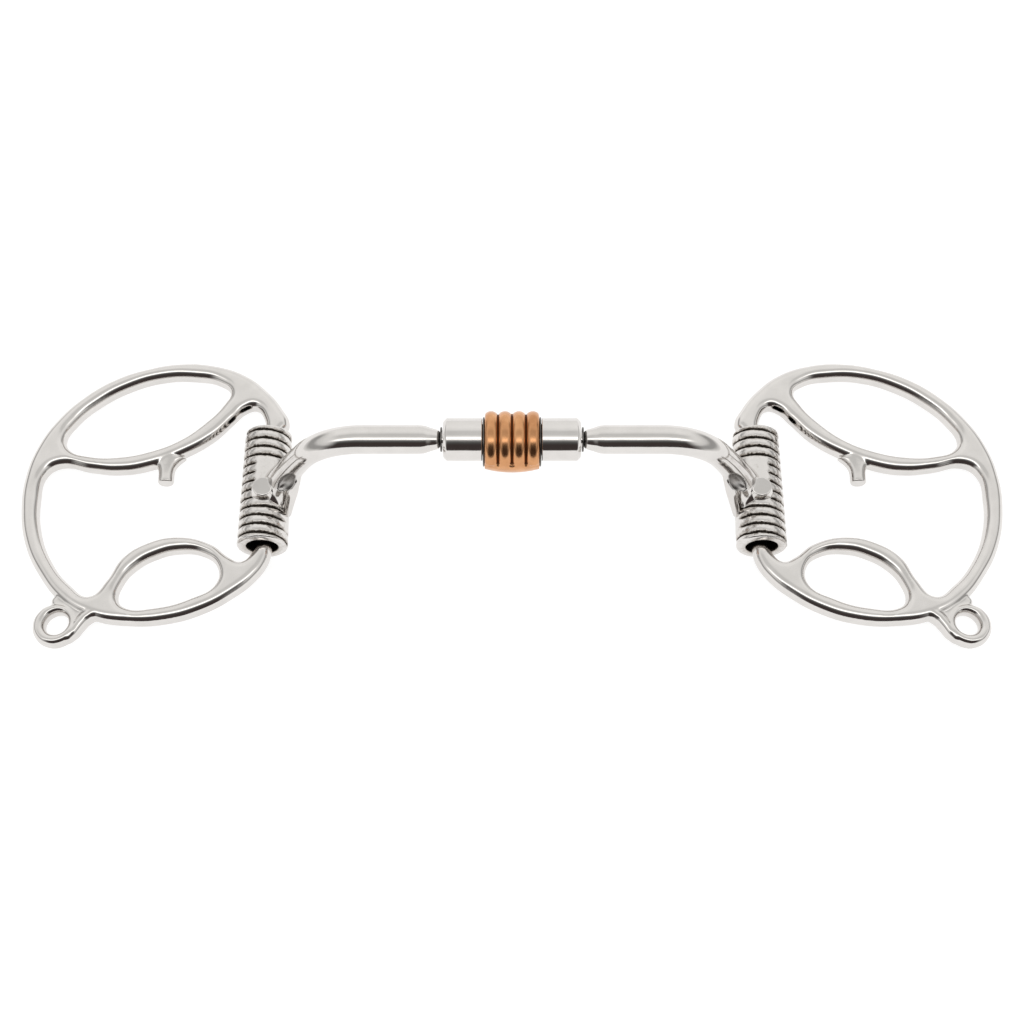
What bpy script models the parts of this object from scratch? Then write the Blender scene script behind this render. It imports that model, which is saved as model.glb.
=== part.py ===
"""Barrel-mouth snaffle bit with a copper roller, swivelling arms and cheek rings.

Two cast cheek rings each turn in a grooved sleeve. Each sleeve is fixed to a curved
mouth arm, and the arms swivel on pins inside the two steel collars of a centre barrel,
whose spindle carries a loose, ribbed copper roller between two dark washers. The bit
rests on a flat surface with its cheeks opened out and its mouth arched upwards.

Frame: metres, +X to the rider's right cheek, +Y towards the headstall slots, +Z up,
with the origin on the surface under the middle of the bit.
"""
import math

import bmesh
import bpy
from mathutils import Matrix, Vector

MM = 0.001

# Mouthpiece, in mm
SLEEVE_X = 68.8          # hinge axis to the middle of the bit
SLEEVE_Y = 2.0           # middle of the sleeves in Y
SLEEVE_REIN_R = 7.1      # outside radius at the end nearer the rein slots
SLEEVE_HEAD_R = 6.6      # outside radius at the end nearer the headstall slots
SLEEVE_BORE_R = 4.7
SLEEVE_LENGTH = 35.2
SLEEVE_RIM = 0.4         # how much the bore widens towards each mouth
SLEEVE_EDGE = 0.7        # length of the rounding at each end
GROOVE_COUNT = 13
GROOVE_DEPTH = 0.45
GROOVE_HALF = 0.4
GROOVE_MARGIN = 1.5      # middle of the first and last groove from the sleeve's ends
BARREL_Z = 36.8          # height of the barrel's axis
ARM_R = 3.9
BEND_START = 40.0        # where the straight arm starts to bend down
BEND_R = 19.0
BEND_ANGLE = math.radians(58)
ARM_TAIL = 19.0          # past the bend, deep enough to be cut off by the sleeve's seat
FAN_START = 5.0          # past the bend, where the arm starts to spread
NOSE_R = 2.7
NOSE_HEIGHT = 1.6        # above the sleeve's top

# Barrel, in mm
BARREL_HALF = 18.3
COLLAR_R = 5.75
COLLAR_INNER_FACE = 7.9
COLLAR_CAVITY_R = 4.4
COLLAR_END_WALL = 2.2
SPINDLE_R = 3.9
PIN_R = 1.9
PIN_HEAD_R = 2.9
PIN_HEAD_LENGTH = 1.4
PIN_WASHER_THICKNESS = 1.4
PIN_WASHER_R = 3.8
NECK_WASHER_THICKNESS = 0.45
NECK_WASHER_R = 3.3
ROLLER_R = 8.25
ROLLER_BORE_R = 5.5
ROLLER_HALF = 7.25
ROLLER_BELLY = 0.018     # how fast its plain underside narrows with the square of x
RIB_COUNT = 4
RIB_PITCH = 3.71
RIB_CROWN_R = 2.2
RIB_HALF = 1.5           # rib's middle to the edge of the groove beside it
RIB_GROOVE_DEPTH = 1.0
ROLLER_END_DROP = 1.3    # how far its end faces lie inside the crowns
ROLLER_STEPS = 36
ROLLER_WASHER_R = 6.6
ROLLER_WASHER_THICKNESS = 0.4

# Cheek rings, in mm
RING_X = 67.8            # the outlines' own origin to the middle of the bit
RING_THICKNESS = 6.0
RING_EDGE_R = 1.9        # rounding of the cast edges
RING_DROP = 0.6          # hinge bar below the sleeve's axis, where it rests in the bore
RING_REACH = 68.0        # hinge bar to the outermost bar, where the ring meets the surface
STUB_R = 2.25

GAP = 0.3                # clearance between touching pieces
ROLLER_DROP = ROLLER_BORE_R - SPINDLE_R - GAP        # it hangs on the spindle
ROLLER_RIBS_FROM = 10    # degrees above the horizontal where the ribs start, front and back

SLEEVE_Z = SLEEVE_REIN_R
HINGE_BAR_Z = SLEEVE_Z - RING_DROP
RING_TILT = math.asin((HINGE_BAR_Z - RING_THICKNESS / 2) / RING_REACH)

# Outlines of the left cheek ring: (outward from the hinge bar, along it), in mm.
# Smooth closed curves pass through these points.
RING_OUTLINE = [
    (-2.8, 17.0), (-4.7, 20.7), (-2.4, 26.0), (2.0, 31.6), (8.5, 37.0), (17.5, 40.5),
    (27.5, 41.5), (37.0, 40.1), (46.5, 36.8), (55.0, 31.2), (62.0, 23.9), (67.0, 15.2),
    (69.5, 5.8), (69.6, -4.7), (67.3, -15.3), (62.6, -24.4), (55.5, -32.9), (47.0, -37.9),
    (37.0, -39.9), (26.0, -39.6), (16.0, -36.7), (8.0, -32.1), (2.4, -27.3), (-0.9, -22.2),
    (-1.8, -17.0), (-2.5, 0.0)]
HEADSTALL_SLOT = [
    (59.0, 17.5), (56.4, 22.7), (50.2, 28.7), (42.0, 33.5), (33.0, 36.2), (23.5, 36.3),
    (15.9, 34.4), (12.9, 31.4), (14.6, 27.3), (20.0, 21.2), (26.5, 16.3), (34.0, 13.2),
    (43.0, 11.5), (51.5, 11.9), (57.6, 14.2)]
MIDDLE_OPENING = [
    (5.2, 26.0), (2.7, 22.9), (2.0, 17.0), (2.7, 0.0), (3.4, -17.0), (4.3, -20.2),
    (6.6, -21.9), (9.6, -20.7), (15.0, -16.5), (24.5, -14.0), (33.5, -15.9), (39.8, -20.3),
    (43.4, -26.8), (47.7, -31.4), (53.0, -28.2), (59.4, -20.4), (63.4, -10.7),
    (64.5, -1.2), (63.4, 6.6), (60.0, 9.0), (51.0, 7.4), (43.5, 6.5), (35.0, 7.5),
    (24.6, 11.5), (16.6, 16.5), (11.0, 22.3), (8.0, 25.3)]
REIN_SLOT = [
    (24.5, -18.7), (17.2, -19.7), (13.2, -23.1), (13.1, -28.4), (20.0, -32.8),
    (29.5, -35.3), (37.3, -35.1), (39.6, -32.9), (38.6, -27.3), (35.0, -22.9),
    (30.3, -20.2)]
EYELET_CENTRE = (56.4, -39.8)
EYELET_R = 6.2
EYELET_HOLE = (4.2, 3.8)             # half sizes of the oval hole
EYELET_HOLE_TURN = math.radians(135)
EYELET_THICKNESS = 5.2
EYELET_EDGE_R = 0.9
EYELET_NECK = [
    (58.2, -32.4), (55.0, -31.0), (50.0, -34.6), (45.6, -36.4), (46.6, -38.9), (49.2, -40.2),
    (51.4, -42.6), (51.8, -39.6), (53.3, -36.3), (56.6, -34.7)]
NECK_THICKNESS = 4.6
NECK_EDGE_R = 0.6
STUB_CENTRE = 29.5
STUB_END = 3.1
STUB_ROOT = 10.5
STUB_FLARE = [(-5.4, 10.6), (-3.1, 8.8), (-2.0, 6.4), (2.0, 6.4), (3.1, 8.8), (5.4, 10.6)]
STUB_FLARE_THICKNESS = 4.0


def clear_scene():
    for old in list(bpy.data.objects):
        bpy.data.objects.remove(old)


def new_collection(name):
    collection = bpy.data.collections.new(name)
    bpy.context.scene.collection.children.link(collection)
    return collection


def new_material(name, colour, roughness, metallic=1.0):
    material = bpy.data.materials.new(name)
    material.use_nodes = True
    shader = material.node_tree.nodes["Principled BSDF"]
    shader.inputs["Base Color"].default_value = (*colour, 1)
    shader.inputs["Roughness"].default_value = roughness
    shader.inputs["Metallic"].default_value = metallic
    return material


def add_object(name, data, collection, material=None):
    made = bpy.data.objects.new(name, data)
    collection.objects.link(made)
    if material:
        made.data.materials.append(material)
    return made


def add_cutter(name, mesh):
    cutter = add_object(name, mesh, cutters)
    cutter.hide_render = True
    cutter.display_type = 'WIRE'
    return cutter


def set_origin(made, point):
    """Move the object's origin to a point in mm, with its shape left where it is."""
    origin = Vector(point) * MM
    made.data.transform(Matrix.Translation(-origin))
    made.location = origin


def smooth(made, angle=math.radians(40)):
    made.data.shade_smooth()
    made.data.set_sharp_from_angle(angle=angle)


def boolean(made, cutter, operation):
    modifier = made.modifiers.new(cutter.name, 'BOOLEAN')
    modifier.operation = operation
    modifier.object = cutter
    return modifier


def mesh_of(curve_object):
    """Turn a curve object into a welded mesh in world space, and remove the object."""
    bpy.context.view_layer.update()
    evaluated = curve_object.evaluated_get(bpy.context.evaluated_depsgraph_get())
    mesh = bpy.data.meshes.new_from_object(evaluated)
    mesh.transform(curve_object.matrix_world)
    bm = bmesh.new()
    bm.from_mesh(mesh)
    bmesh.ops.remove_doubles(bm, verts=bm.verts, dist=0.00001)
    bmesh.ops.recalc_face_normals(bm, faces=bm.faces)
    bm.to_mesh(mesh)
    bm.free()
    bpy.data.objects.remove(curve_object)
    return mesh


def turned(name, profile, steps, centre, material=None, collection=None):
    """A closed profile of (along, radius) points in mm, turned about the X axis."""
    mesh = bpy.data.meshes.new(name)
    points = [(radius * MM, 0, along * MM) for along, radius in profile]
    count = len(points)
    touches_axis = profile[0][1] == 0
    edges = [(i, (i + 1) % count) for i in range(count - 1 if touches_axis else count)]
    mesh.from_pydata(points, edges, [])
    made = add_object(name, mesh, collection or parts, material)
    made.location = Vector(centre) * MM
    made.rotation_euler = (0, math.radians(90), 0)
    screw = made.modifiers.new("turn", 'SCREW')
    screw.steps = steps
    screw.render_steps = steps
    screw.use_merge_vertices = True
    screw.merge_threshold = 0.00001
    screw.use_smooth_shade = True
    return made


def flat_plate(loops, thickness, edge_radius, points_per_span, edge_steps):
    """A filled outline with holes, in the XY plane and in mm, with rounded edges.

    The first loop is the outside and the others are holes.
    """
    curve = bpy.data.curves.new("plate", 'CURVE')
    curve.dimensions = '2D'
    curve.fill_mode = 'BOTH'
    curve.resolution_u = points_per_span
    curve.render_resolution_u = 0
    curve.extrude = (thickness / 2 - edge_radius) * MM
    curve.bevel_depth = edge_radius * MM
    curve.bevel_resolution = edge_steps
    curve.offset = -edge_radius * MM
    for number, loop in enumerate(loops):
        area = sum(a[0] * b[1] - b[0] * a[1] for a, b in zip(loop, loop[1:] + loop[:1]))
        wanted = 1 if number == 0 else -1
        points = loop if area * wanted > 0 else loop[::-1]
        spline = curve.splines.new('BEZIER')
        spline.bezier_points.add(len(points) - 1)
        spline.use_cyclic_u = True
        for bezier, (x, y) in zip(spline.bezier_points, points):
            bezier.co = (x * MM, y * MM, 0)
            bezier.handle_left_type = bezier.handle_right_type = 'AUTO'
    return mesh_of(add_object("plate", curve, parts))


def ellipse(centre, half_long, half_short, turn, count):
    points = []
    for i in range(count):
        angle = 2 * math.pi * i / count
        x, y = half_long * math.cos(angle), half_short * math.sin(angle)
        points.append((centre[0] + x * math.cos(turn) - y * math.sin(turn),
                       centre[1] + x * math.sin(turn) + y * math.cos(turn)))
    return points


def cylinder_mesh(radii, depth, segments, matrix):
    """A cylinder or cone along Z, with its radii at the low and the high end."""
    bm = bmesh.new()
    bmesh.ops.create_cone(bm, cap_ends=True, segments=segments, radius1=radii[0] * MM,
                          radius2=radii[1] * MM, depth=depth * MM)
    bmesh.ops.transform(bm, matrix=matrix, verts=bm.verts)
    mesh = bpy.data.meshes.new("cylinder")
    bm.to_mesh(mesh)
    bm.free()
    return mesh


def cheek_ring(side, name):
    """One cheek ring; side is -1 for the left and +1 for the right."""
    def outline(points):
        return [(side * x, y) for x, y in points]

    place = (Matrix.Translation(Vector((side * RING_X, SLEEVE_Y, HINGE_BAR_Z)) * MM)
             @ Matrix.Rotation(side * RING_TILT, 4, 'Y'))
    holes = [outline(loop) for loop in (HEADSTALL_SLOT, MIDDLE_OPENING, REIN_SLOT)]
    body = flat_plate([outline(RING_OUTLINE)] + holes, RING_THICKNESS, RING_EDGE_R, 2, 1)
    body.transform(place)
    ring = add_object(name, body, parts, steel)

    rim = ellipse(EYELET_CENTRE, EYELET_R, EYELET_R, 0, 10)
    hole = ellipse(EYELET_CENTRE, *EYELET_HOLE, EYELET_HOLE_TURN, 10)
    eyelet = flat_plate([outline(rim), outline(hole)], EYELET_THICKNESS, EYELET_EDGE_R, 2, 0)
    eyelet.transform(place)
    boolean(ring, add_cutter(name + "_eyelet", eyelet), 'UNION')
    neck = flat_plate([outline(EYELET_NECK)], NECK_THICKNESS, NECK_EDGE_R, 2, 0)
    neck.transform(place)
    boolean(ring, add_cutter(name + "_eyelet_neck", neck), 'UNION')

    middle = (STUB_ROOT + STUB_END) / 2
    along_y = Matrix.Rotation(math.radians(90), 4, 'X')
    stub_place = Matrix.Translation(Vector((side * STUB_CENTRE, middle, 0)) * MM) @ along_y
    stub = cylinder_mesh((STUB_R, STUB_R), STUB_ROOT - STUB_END, 16, place @ stub_place)
    boolean(ring, add_cutter(name + "_stub", stub), 'UNION')
    flare = flat_plate([outline([(STUB_CENTRE + x, y) for x, y in STUB_FLARE])],
                       STUB_FLARE_THICKNESS, NECK_EDGE_R, 2, 0)
    flare.transform(place)
    boolean(ring, add_cutter(name + "_stub_flare", flare), 'UNION')
    set_origin(ring, (side * SLEEVE_X, SLEEVE_Y, SLEEVE_Z))
    smooth(ring)
    return ring


def sleeve_radius(y):
    """Outside radius of a sleeve at a distance y from its middle."""
    share = y / SLEEVE_LENGTH + 0.5
    return SLEEVE_REIN_R + (SLEEVE_HEAD_R - SLEEVE_REIN_R) * share


def cheek_sleeve(side, name):
    """A tube with shallow grooves round it, turned about the hinge axis."""
    half = SLEEVE_LENGTH / 2
    pitch = (SLEEVE_LENGTH - 2 * GROOVE_MARGIN) / (GROOVE_COUNT - 1)
    mouth_r = SLEEVE_BORE_R + SLEEVE_RIM
    outside = [(half, mouth_r), (half - 0.15, SLEEVE_HEAD_R - 0.6),
               (half - SLEEVE_EDGE, SLEEVE_HEAD_R)]
    for i in range(GROOVE_COUNT):
        middle = half - GROOVE_MARGIN - i * pitch
        radius = sleeve_radius(middle)
        outside += [(middle + GROOVE_HALF, radius), (middle, radius - GROOVE_DEPTH),
                    (middle - GROOVE_HALF, radius)]
    outside += [(SLEEVE_EDGE - half, SLEEVE_REIN_R), (0.15 - half, SLEEVE_REIN_R - 0.6),
                (-half, mouth_r)]
    bore = [(0.5 - half, SLEEVE_BORE_R), (half - 0.5, SLEEVE_BORE_R)]
    centre = (side * SLEEVE_X, SLEEVE_Y, SLEEVE_Z)
    sleeve = turned(name, outside + bore, 20, centre, steel)
    sleeve.rotation_euler = (math.radians(-90), 0, 0)
    return sleeve


def arm_path(side):
    """Centre line of an arm after its straight part, and the direction at its end."""
    points = []
    steps = 8
    for i in range(steps + 1):
        angle = BEND_ANGLE * i / steps
        points.append(Vector((side * (BEND_START + BEND_R * math.sin(angle)), SLEEVE_Y,
                              BARREL_Z - BEND_R * (1 - math.cos(angle)))))
    direction = Vector((side * math.cos(BEND_ANGLE), 0, -math.sin(BEND_ANGLE)))
    return points, direction


def arm_tube(side):
    """The round arm, from the head of its swivel pin to the sleeve."""
    head_end = BARREL_HALF - COLLAR_END_WALL - PIN_WASHER_THICKNESS - 2 * GAP
    head = head_end - PIN_HEAD_LENGTH
    stations = [
        (head, PIN_HEAD_R - 0.7), (head + 0.4, PIN_HEAD_R), (head_end - 0.1, PIN_HEAD_R),
        (head_end, PIN_R),
        (BARREL_HALF + 1.0, PIN_R), (BARREL_HALF + 1.1, 2.5), (BARREL_HALF + 1.6, 2.7),
        (BARREL_HALF + 3.2, 3.15), (BARREL_HALF + 4.9, 3.75), (BARREL_HALF + 6.2, ARM_R)]
    route = [(Vector((side * x, SLEEVE_Y, BARREL_Z)), radius) for x, radius in stations]
    bend, direction = arm_path(side)
    route += [(point, ARM_R) for point in bend]
    route.append((bend[-1] + direction * ARM_TAIL, ARM_R))
    curve = bpy.data.curves.new("arm", 'CURVE')
    curve.dimensions = '3D'
    curve.bevel_depth = ARM_R * MM
    curve.bevel_resolution = 6
    curve.render_resolution_u = 0
    curve.use_fill_caps = True
    spline = curve.splines.new('POLY')
    spline.points.add(len(route) - 1)
    for point, (place, radius) in zip(spline.points, route):
        point.co = (*(place * MM), 1)
        point.radius = radius / ARM_R
    return mesh_of(add_object("arm", curve, parts))


def hull_mesh(points):
    bm = bmesh.new()
    for point in points:
        bm.verts.new(point * MM)
    made = bmesh.ops.convex_hull(bm, input=bm.verts)
    bmesh.ops.delete(bm, geom=made["geom_interior"], context='VERTS')
    mesh = bpy.data.meshes.new("hull")
    bm.to_mesh(mesh)
    bm.free()
    return mesh


def on_sleeve(side, angle, radius, y):
    """A point round the sleeve; angle 0 is the mouth side and 90 is the top."""
    turn = math.radians(angle)
    return Vector((side * (SLEEVE_X - radius * math.cos(turn)), SLEEVE_Y + y,
                   SLEEVE_Z + radius * math.sin(turn)))


def arm_fan(side):
    """The web that spreads the arm's end over the sleeve, as a hull."""
    points = []
    for y, low, high, height in ((-6.5, 25, 80, 0.7), (-4.5, 8, 96, 1.0),
                                 (4.5, 8, 96, 1.0), (6.5, 25, 80, 0.7)):
        for step in range(5):
            angle = low + (high - low) * step / 4
            points.append(on_sleeve(side, angle, sleeve_radius(0) + height, y))
    bend, direction = arm_path(side)
    centre = bend[-1] + direction * FAN_START
    across = Vector((-direction.z, 0, direction.x))
    neck_r = ARM_R - 0.15
    for i in range(12):
        turn = 2 * math.pi * i / 12
        points.append(centre + across * math.cos(turn) * neck_r
                      + Vector((0, math.sin(turn) * neck_r, 0)))
    return hull_mesh(points)


def arm_nose(side):
    """The raised flat boss where the arm ends on top of the sleeve."""
    points = []
    centre = Vector((side * (SLEEVE_X - 0.7), SLEEVE_Y - 1.4, SLEEVE_Z + SLEEVE_REIN_R))
    for i in range(14):
        turn = 2 * math.pi * i / 14
        radius = Vector((NOSE_R * math.cos(turn), NOSE_R * math.sin(turn), 0))
        points.append(centre + radius + Vector((0, 0, NOSE_HEIGHT)))
        points.append(centre + radius * 1.2 - Vector((0, 0, 1.5)))
    return hull_mesh(points)


def mouth_arm(side, name):
    arm = add_object(name, arm_tube(side), parts, steel)
    boolean(arm, add_cutter(name + "_fan", arm_fan(side)), 'UNION')
    boolean(arm, add_cutter(name + "_nose", arm_nose(side)), 'UNION')
    half = SLEEVE_LENGTH / 2
    along_y = Matrix.Rotation(math.radians(-90), 4, 'X')
    clearance = cylinder_mesh(
        (sleeve_radius(-half) + GAP, sleeve_radius(half) + GAP), SLEEVE_LENGTH, 48,
        Matrix.Translation(Vector((side * SLEEVE_X, SLEEVE_Y, SLEEVE_Z)) * MM) @ along_y)
    boolean(arm, add_cutter(name + "_seat", clearance), 'DIFFERENCE')
    set_origin(arm, (0, SLEEVE_Y, BARREL_Z))
    smooth(arm)
    return arm


def mirrored(profile, side):
    """Profile points for one side, kept in the order that faces outwards."""
    points = [(side * along, radius) for along, radius in profile]
    return points if side > 0 else points[::-1]


def barrel_collar(side, name):
    """A cup with its end wall outwards, round the head of one arm's swivel pin."""
    far, near = BARREL_HALF, COLLAR_INNER_FACE
    wall = far - COLLAR_END_WALL
    profile = [
        (far, PIN_R + 0.4), (far, COLLAR_R - 1.4), (far - 0.35, COLLAR_R - 0.5),
        (far - 1.2, COLLAR_R), (near + 0.4, COLLAR_R), (near, COLLAR_R - 0.4),
        (near, COLLAR_CAVITY_R), (wall, COLLAR_CAVITY_R), (wall, PIN_R + 0.4)]
    return turned(name, mirrored(profile, side), 24, (0, SLEEVE_Y, BARREL_Z), steel)


def roller_spindle():
    """The rod under the roller, with a plug at each end that closes its collar."""
    plug_r = COLLAR_CAVITY_R - GAP
    plug_end = COLLAR_INNER_FACE + 2.2
    half = [(plug_end, 0), (plug_end, plug_r - 0.4), (plug_end - 0.4, plug_r),
            (COLLAR_INNER_FACE, plug_r), (COLLAR_INNER_FACE - 0.4, SPINDLE_R)]
    profile = half + [(-along, radius) for along, radius in half[::-1]]
    return turned("roller_spindle", profile, 16, (0, SLEEVE_Y, BARREL_Z), steel)


def washer(name, side, start, thickness, inner, outer, drop=0.0):
    far, near = start + thickness, start
    profile = [(far, inner), (far, outer - 0.1), (far - 0.1, outer), (near + 0.1, outer),
               (near, outer - 0.1), (near, inner)]
    return turned(name, mirrored(profile, side), 16, (0, SLEEVE_Y, BARREL_Z - drop),
                  dark_steel)


def roller_profile(ribbed):
    """The roller's outside as (along, radius); its underside is plain, not ribbed."""
    end_r = ROLLER_R - ROLLER_END_DROP
    points = [(-ROLLER_HALF, end_r)]
    for i in range(RIB_COUNT):
        middle = (i - (RIB_COUNT - 1) / 2) * RIB_PITCH
        for off in (-RIB_HALF, -RIB_HALF / 2, 0.0, RIB_HALF / 2, RIB_HALF):
            lower = RIB_CROWN_R - math.sqrt(RIB_CROWN_R ** 2 - off ** 2)
            points.append((middle + off, ROLLER_R - lower))
        if i < RIB_COUNT - 1:
            points.append((middle + RIB_PITCH / 2, ROLLER_R - RIB_GROOVE_DEPTH))
    points.append((ROLLER_HALF, end_r))
    if ribbed:
        return points
    plain = [(x, ROLLER_R - ROLLER_BELLY * x * x) for x, _ in points[1:-1]]
    return [points[0]] + plain + [points[-1]]


def copper_roller():
    """A roller that hangs on the spindle, ribbed round its upper side."""
    mesh = bpy.data.meshes.new("copper_roller")
    steps = ROLLER_STEPS
    bore = [(ROLLER_HALF, ROLLER_BORE_R), (-ROLLER_HALF, ROLLER_BORE_R)]
    verts = []
    for step in range(steps):
        degrees = (step + 0.5) * 360 / steps
        ribbed = ROLLER_RIBS_FROM < degrees < 180 - ROLLER_RIBS_FROM
        turn = math.radians(degrees)
        for x, radius in roller_profile(ribbed) + bore:
            verts.append((x * MM, radius * MM * math.cos(turn), radius * MM * math.sin(turn)))
    count = len(verts) // steps
    faces = []
    for step in range(steps):
        here, after = step * count, (step + 1) % steps * count
        for i in range(count):
            j = (i + 1) % count
            faces.append((here + i, after + i, after + j, here + j))
    mesh.from_pydata(verts, [], faces)
    roller = add_object("copper_roller", mesh, parts, copper)
    roller.location = Vector((0, SLEEVE_Y, BARREL_Z - ROLLER_DROP)) * MM
    smooth(roller)
    return roller


def add_axis(name, place, children):
    """An empty on a joint's axis, which carries the pieces that turn about it."""
    empty = bpy.data.objects.new(name, None)
    empty.location = Vector(place) * MM
    empty.empty_display_size = 0.01
    parts.objects.link(empty)
    bpy.context.view_layer.update()
    for child in children:
        child.parent = empty
        child.matrix_parent_inverse = Matrix.Translation(-empty.location)
    return empty


clear_scene()
parts = new_collection("snaffle_bit")
cutters = new_collection("cutters")
steel = new_material("polished_steel", (0.72, 0.71, 0.69), 0.18)
dark_steel = new_material("dark_steel", (0.20, 0.19, 0.18), 0.35)
copper = new_material("copper", (0.80, 0.42, 0.24), 0.22)

barrel_pieces = [roller_spindle(), copper_roller()]

for side, word in ((-1, "left"), (1, "right")):
    barrel_pieces.append(barrel_collar(side, word + "_barrel_collar"))
    barrel_pieces.append(washer(
        word + "_roller_washer", side, ROLLER_HALF + 0.1, ROLLER_WASHER_THICKNESS,
        ROLLER_BORE_R, ROLLER_WASHER_R, ROLLER_DROP))
    neck = washer(word + "_neck_washer", side, BARREL_HALF + GAP, NECK_WASHER_THICKNESS,
                  PIN_R + GAP, NECK_WASHER_R)
    keeper_start = BARREL_HALF - COLLAR_END_WALL - PIN_WASHER_THICKNESS - GAP
    keeper = washer(word + "_pin_washer", side, keeper_start, PIN_WASHER_THICKNESS,
                    PIN_R + GAP, PIN_WASHER_R)
    arm = mouth_arm(side, word + "_mouth_arm")
    sleeve = cheek_sleeve(side, word + "_cheek_sleeve")
    ring = cheek_ring(side, word + "_cheek_ring")
    hinge = add_axis(word + "_hinge_axis", (side * SLEEVE_X, SLEEVE_Y, SLEEVE_Z),
                     [sleeve, ring])
    swivel = add_axis(word + "_swivel_axis", (0, SLEEVE_Y, BARREL_Z),
                      [arm, neck, keeper])
    hinge.parent = swivel
    hinge.matrix_parent_inverse = Matrix.Translation(-swivel.location)

add_axis("barrel_axis", (0, SLEEVE_Y, BARREL_Z), barrel_pieces)
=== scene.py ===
"""Looks for the snaffle bit: fine meshes, metals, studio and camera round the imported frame.

Every piece stands where its CAD node is and rides on the same body. Lengths in this file
are in mm unless a name or a comment says otherwise, and become metres when a mesh is made.
The mouth lies along X; the headstall slots are towards +Y and the rein slots towards -Y.
"""
import math

import bmesh
import bpy
import numpy as np
from mathutils import Matrix, Vector, noise
from mathutils.bvhtree import BVHTree


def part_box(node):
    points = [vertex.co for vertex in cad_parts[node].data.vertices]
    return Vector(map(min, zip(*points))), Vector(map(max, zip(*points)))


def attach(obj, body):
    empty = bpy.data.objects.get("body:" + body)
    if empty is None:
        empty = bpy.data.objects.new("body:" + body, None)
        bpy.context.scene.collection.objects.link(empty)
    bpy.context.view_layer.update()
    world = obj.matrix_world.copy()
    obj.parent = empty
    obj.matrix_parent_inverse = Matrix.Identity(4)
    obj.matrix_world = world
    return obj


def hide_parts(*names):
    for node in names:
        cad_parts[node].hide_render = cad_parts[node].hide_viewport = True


MM = 0.001

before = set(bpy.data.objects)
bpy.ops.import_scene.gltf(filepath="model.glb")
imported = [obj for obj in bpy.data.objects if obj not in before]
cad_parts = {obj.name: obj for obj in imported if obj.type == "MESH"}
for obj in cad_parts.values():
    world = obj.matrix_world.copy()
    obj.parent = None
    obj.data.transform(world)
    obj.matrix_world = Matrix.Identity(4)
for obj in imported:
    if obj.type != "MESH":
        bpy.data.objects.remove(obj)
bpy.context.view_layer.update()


def box_of(node_name):
    """Lowest and highest corner of a CAD node, in mm."""
    low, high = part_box(node_name)
    return low / MM, high / MM


# ---------------------------------------------------------------- places from the frame
sleeve_low, sleeve_high = box_of("right_cheek_sleeve")
SLEEVE_X = (sleeve_low.x + sleeve_high.x) / 2
SLEEVE_Y = (sleeve_low.y + sleeve_high.y) / 2
SLEEVE_Z = (sleeve_low.z + sleeve_high.z) / 2
SLEEVE_LENGTH = sleeve_high.y - sleeve_low.y
SLEEVE_REIN_R = (sleeve_high.z - sleeve_low.z) / 2

collar_low, collar_high = box_of("right_barrel_collar")
BARREL_HALF = collar_high.x
COLLAR_INNER_FACE = collar_low.x
COLLAR_R = (collar_high.z - collar_low.z) / 2

spindle_low, spindle_high = box_of("roller_spindle")
BARREL_Z = (spindle_low.z + spindle_high.z) / 2

# ---------------------------------------------------------------- barrel and roller
GAP = 0.3                    # clearance between pieces that turn on each other
COLLAR_CAVITY_R = 4.4
COLLAR_END_WALL = 2.2
COLLAR_EDGE = 0.9
PIN_HOLE_GAP = 0.4
SPINDLE_R = 3.9
PLUG_LENGTH = 2.2
PLUG_EDGE = 0.4
PIN_R = 1.9
ROLLER_R = 8.21
ROLLER_BORE_R = 5.5
ROLLER_HALF = 7.25
ROLLER_BELLY = 0.018         # the plain side falls by this times the squared distance
ROLLER_STEPS = 288
RIBS_START, RIBS_FULL = 5.0, 12.0    # degrees above the level of the roller's axis
ROLLER_DROP = ROLLER_BORE_R - SPINDLE_R - GAP
ROLLER_BEVEL = 0.3
# Painted shade in the roller's bore and on its end faces towards it
ROLLER_BORE_PAINTED_SHADE = 0.6
ROLLER_END = [(0.0, 1.25), (0.08, 1.0)]          # (inwards, below the ribs' crowns)
RIB_COUNT = 4
RIB_PITCH = 3.71
RIB_CROWN_R = 2.2
RIB_HALF = 1.5
RIB_GROOVE_DEPTH = 0.40
RIB_GROOVE = [               # (past a rib's edge, depth below that edge)
    (0.10, 0.16), (0.18, 0.30), (0.30, 0.40), (0.41, 0.40), (0.53, 0.30), (0.61, 0.16)]
ROLLER_WASHER_R = 6.6
ROLLER_WASHER_THICKNESS = 0.4
ROLLER_WASHER_GAP = 0.1
NECK_WASHER_R = 3.3
NECK_WASHER_THICKNESS = 0.45
PIN_WASHER_R = 3.8
PIN_WASHER_THICKNESS = 1.4
PIN_WASHER_FROM_WALL = 2.0
WASHER_HOLE_FILLET, WASHER_RIM_FILLET = 0.08, 0.15

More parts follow.
